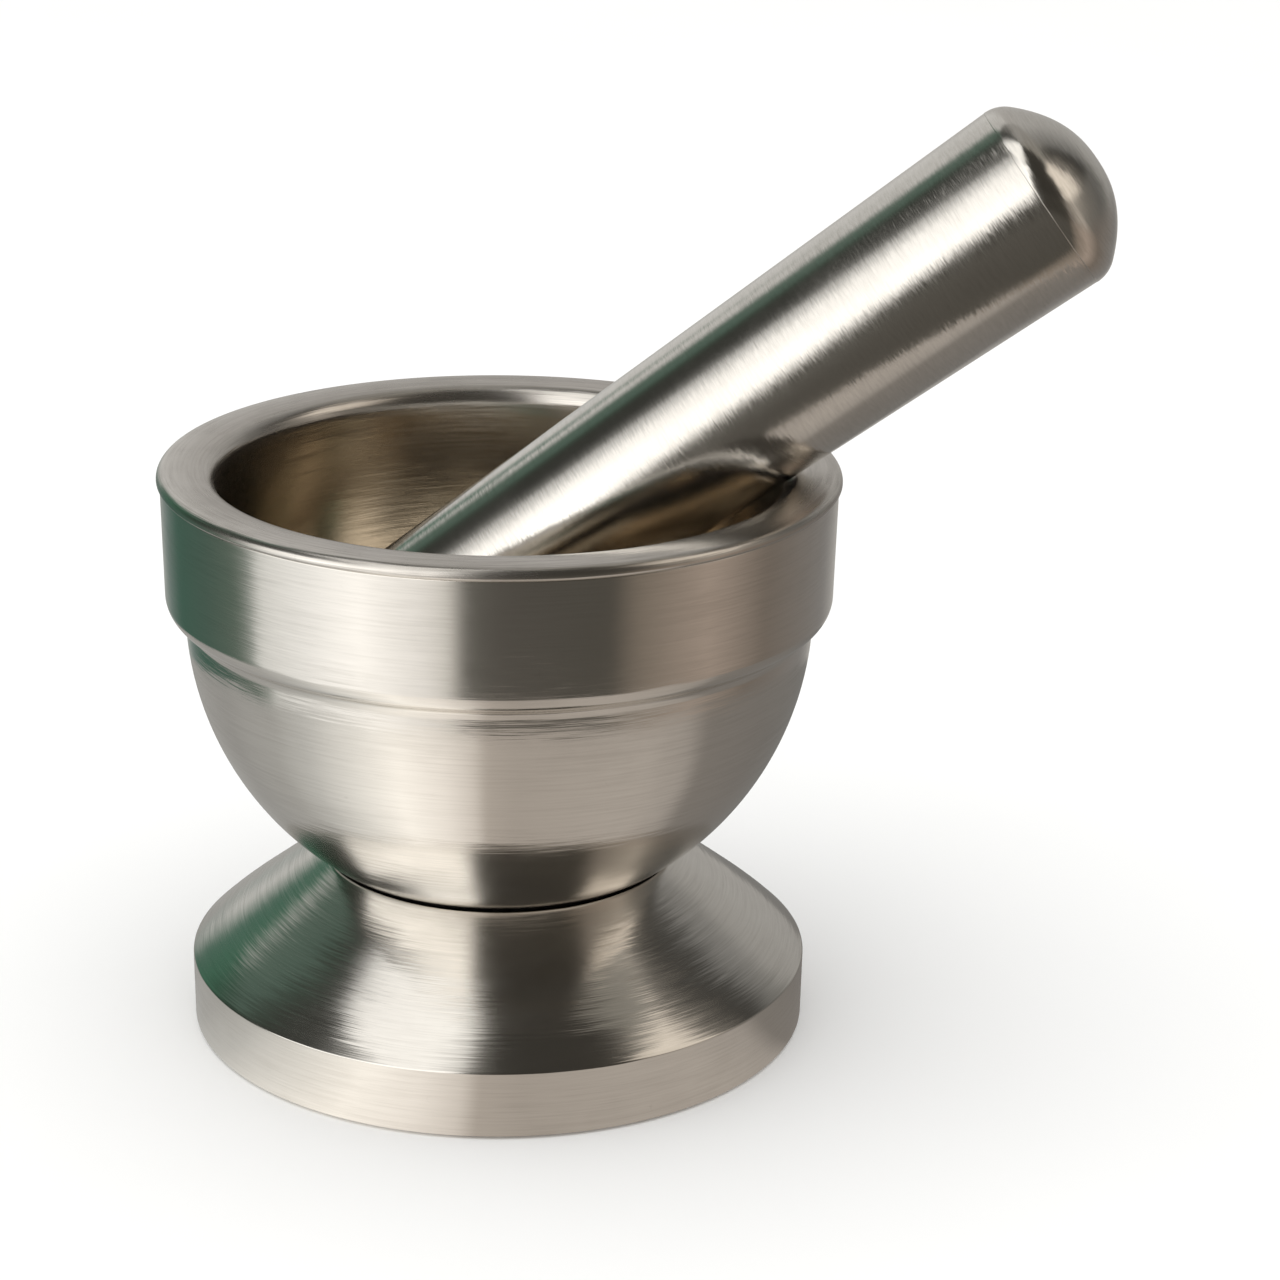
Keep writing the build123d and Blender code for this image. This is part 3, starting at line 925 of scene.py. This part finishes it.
class MORTAR_OT_hidden_pieces(bpy.types.Operator):
    """Finish the pieces inside the foot and the pestle"""

    bl_idname = "mortar.hidden_pieces"
    bl_label = "Hidden pieces"

    def execute(self, context):
        """Each kept CAD piece gets the finish of its own metal in its material slots."""
        plain = hidden_metal(
            "plain_steel", (0.58, 0.57, 0.55, 1.0), (0.44, 0.43, 0.41, 1.0), 1.0, 0.38, 260.0
        )
        zinc = hidden_metal(
            "zinc_steel", (0.62, 0.64, 0.66, 1.0), (0.46, 0.49, 0.47, 1.0), 1.0, 0.42, 700.0
        )
        cast = hidden_metal(
            "cast_weight", (0.12, 0.115, 0.11, 1.0), (0.06, 0.056, 0.052, 1.0), 0.6, 0.66, 500.0
        )
        finishes = {
            "bowl_support_pad": plain,
            "clamp_plate": plain,
            "base_plate": plain,
            "bowl_stud": zinc,
            "lock_washer": zinc,
            "stud_nut": zinc,
            "foot_ballast": cast,
            "pestle_core": cast,
        }
        for node, material in finishes.items():
            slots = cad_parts[node].material_slots
            if not slots:
                raise RuntimeError(f"{node} has no material slot")
            for slot in slots:
                slot.material = material
        return {"FINISHED"}


class MORTAR_OT_studio(bpy.types.Operator):
    """Set up the camera, the pale floor and the soft surroundings"""

    bl_idname = "mortar.studio"
    bl_label = "Studio"

    def execute(self, context):
        """The camera, the floor and table card, the lamp and the room, in that order."""
        studio = context.scene.studio_settings
        self.camera(context, studio)
        self.floor(context, studio)
        self.lamp(context, studio)
        self.surroundings(context)
        context.scene.view_settings.view_transform = "Standard"
        return {"FINISHED"}

    def camera(self, context, studio):
        """The view direction comes from yaw and pitch, and roll turns the picture about it."""
        level = cos(studio.pitch)
        ahead = Vector((sin(studio.yaw) * level, cos(studio.yaw) * level, -sin(studio.pitch)))
        right = Vector((cos(studio.yaw), -sin(studio.yaw), 0.0))
        up = right.cross(ahead)
        turned_right = right * cos(studio.roll) + up * sin(studio.roll)
        turned_up = up * cos(studio.roll) - right * sin(studio.roll)
        data = bpy.data.cameras.new("camera")
        data.lens = studio.lens
        data.clip_start = 0.01
        data.dof.use_dof = False
        camera = bpy.data.objects.new("camera", data)
        turn = Matrix((turned_right, turned_up, -ahead)).transposed().to_4x4()
        place = Matrix.Translation((0.0, -studio.camera_distance, studio.camera_height))
        camera.matrix_world = place @ turn
        context.scene.collection.objects.link(camera)
        context.scene.camera = camera

    def disc(self, context, name, radius, height):
        """A disc: radius times (cosine, sine) of evenly spaced angles, at one height."""
        angles = np.arange(128) * (2 * np.pi / 128)
        unit = np.column_stack((np.cos(angles), np.sin(angles), np.zeros(128)))
        mesh = bpy.data.meshes.new(name)
        mesh.from_pydata(unit * radius + (0.0, 0.0, height), [], [list(range(128))])
        disc = bpy.data.objects.new(name, mesh)
        context.scene.collection.objects.link(disc)
        mesh.materials.append(bpy.data.materials.new(name))
        return disc, Board(mesh.materials[0])

    def floor(self, context, studio):
        """The floor takes the shadow. A smaller table card below it shows only in the steel,
        glowing with the table's painted light and shadow.
        """
        floor, board = self.disc(context, "pale_floor", studio.floor_radius, -0.05 * MM)
        floor.visible_glossy = False
        place = board.node("ShaderNodeTexCoord").outputs["Object"]
        mottle = board.noise(place, (9.0, 9.0, 9.0), 3.0, 0.5)
        tint = board.blend(mottle, (0.93, 0.93, 0.925, 1.0), (0.90, 0.90, 0.895, 1.0))
        board.principled({"Base Color": tint, "Roughness": 0.9, "Specular IOR Level": 0.1})

        card, board = self.disc(context, "glowing_table_card", studio.card_radius, -0.2 * MM)
        card.visible_camera = False
        card.visible_diffuse = False
        card.visible_shadow = False
        place = board.node("ShaderNodeTexCoord").outputs["Object"]
        # Painted light and shadow: the card glows with the table's lit and shaded colours by
        # heading, seen only in reflections.
        glow = board.node("ShaderNodeEmission", None, {"Color": board.compass(place, TABLE_LIGHT_AND_SHADOW)})
        board.node("ShaderNodeOutputMaterial", None, {"Surface": glow.outputs[0]})

    def lamp(self, context, studio):
        """A large soft lamp overhead that lights the floor and doesn't show in the steel."""
        data = bpy.data.lights.new("soft_lamp", "AREA")
        data.shape = "DISK"
        data.size = studio.lamp_size
        data.energy = studio.lamp_power
        lamp = bpy.data.objects.new("soft_lamp", data)
        place = Vector(studio.lamp_place)
        lamp.location = place
        lamp.rotation_euler = (-place).to_track_quat("-Z", "Y").to_euler()
        lamp.visible_glossy = False
        context.scene.collection.objects.link(lamp)

    def surroundings(self, context):
        """The room by direction: four rings of colour by heading, blended by elevation."""
        world = bpy.data.worlds.new("room")
        context.scene.world = world
        board = Board(world)
        direction = board.node("ShaderNodeTexCoord").outputs["Generated"]
        height = Signal(board, board.node("ShaderNodeSeparateXYZ", None, {0: direction}).outputs[2])
        seen = board.compass(direction, LOW_ROOM)
        for room, start, end in ((EYE_ROOM, -9, 7), (HIGH_ROOM, 20, 29), (TOP_ROOM, 52, 57)):
            rise = height.step(sin(radians(start)), sin(radians(end)))
            seen = board.blend(rise, seen, board.compass(direction, room))
        path = board.node("ShaderNodeLightPath").outputs
        even = board.blend(path["Is Diffuse Ray"], seen, (1.03, 1.03, 1.025, 1.0))
        shown = board.blend(path["Is Camera Ray"], even, (1.0, 1.0, 1.0, 1.0))
        background = board.node("ShaderNodeBackground", None, {"Color": shown})
        board.node("ShaderNodeOutputWorld", None, {"Surface": background.outputs[0]})


class MORTAR_PT_panel(bpy.types.Panel):
    """Lists the pieces of the mortar and pestle"""

    bl_idname = "MORTAR_PT_panel"
    bl_label = "Mortar and pestle"
    bl_space_type = "VIEW_3D"
    bl_region_type = "UI"
    bl_category = "Mortar"

    def draw(self, context):
        """A button for each operator and a box for each group of sizes."""
        for operator in OPERATORS:
            self.layout.operator(operator.bl_idname)
        for group in GROUPS:
            settings = getattr(context.scene, group)
            box = self.layout.box()
            for name in settings.bl_rna.properties.keys()[2:]:
                box.prop(settings, name)


GROUPS = {
    "mortar_sizes": MortarSizes,
    "pestle_sizes": PestleSizes,
    "steel_finish": SteelFinish,
    "studio_settings": StudioSettings,
}
OPERATORS = (
    MORTAR_OT_grinding_bowl,
    MORTAR_OT_outer_shell,
    MORTAR_OT_foot,
    MORTAR_OT_anti_slip_pad,
    MORTAR_OT_pestle,
    MORTAR_OT_hidden_pieces,
    MORTAR_OT_studio,
)


def register():
    """Adds the properties, operators and panel to Blender."""
    for group in (*GROUPS.values(), *OPERATORS, MORTAR_PT_panel):
        bpy.utils.register_class(group)
    for name, group in GROUPS.items():
        setattr(bpy.types.Scene, name, PointerProperty(type=group))


def unregister():
    """Takes them away again."""
    for name in GROUPS:
        delattr(bpy.types.Scene, name)
    for group in reversed((*GROUPS.values(), *OPERATORS, MORTAR_PT_panel)):
        bpy.utils.unregister_class(group)


def main():
    """Makes every piece in order."""
    register()
    for operator in OPERATORS:
        group, name = operator.bl_idname.split(".")
        getattr(getattr(bpy.ops, group), name)()


if __name__ == "__main__":
    main()
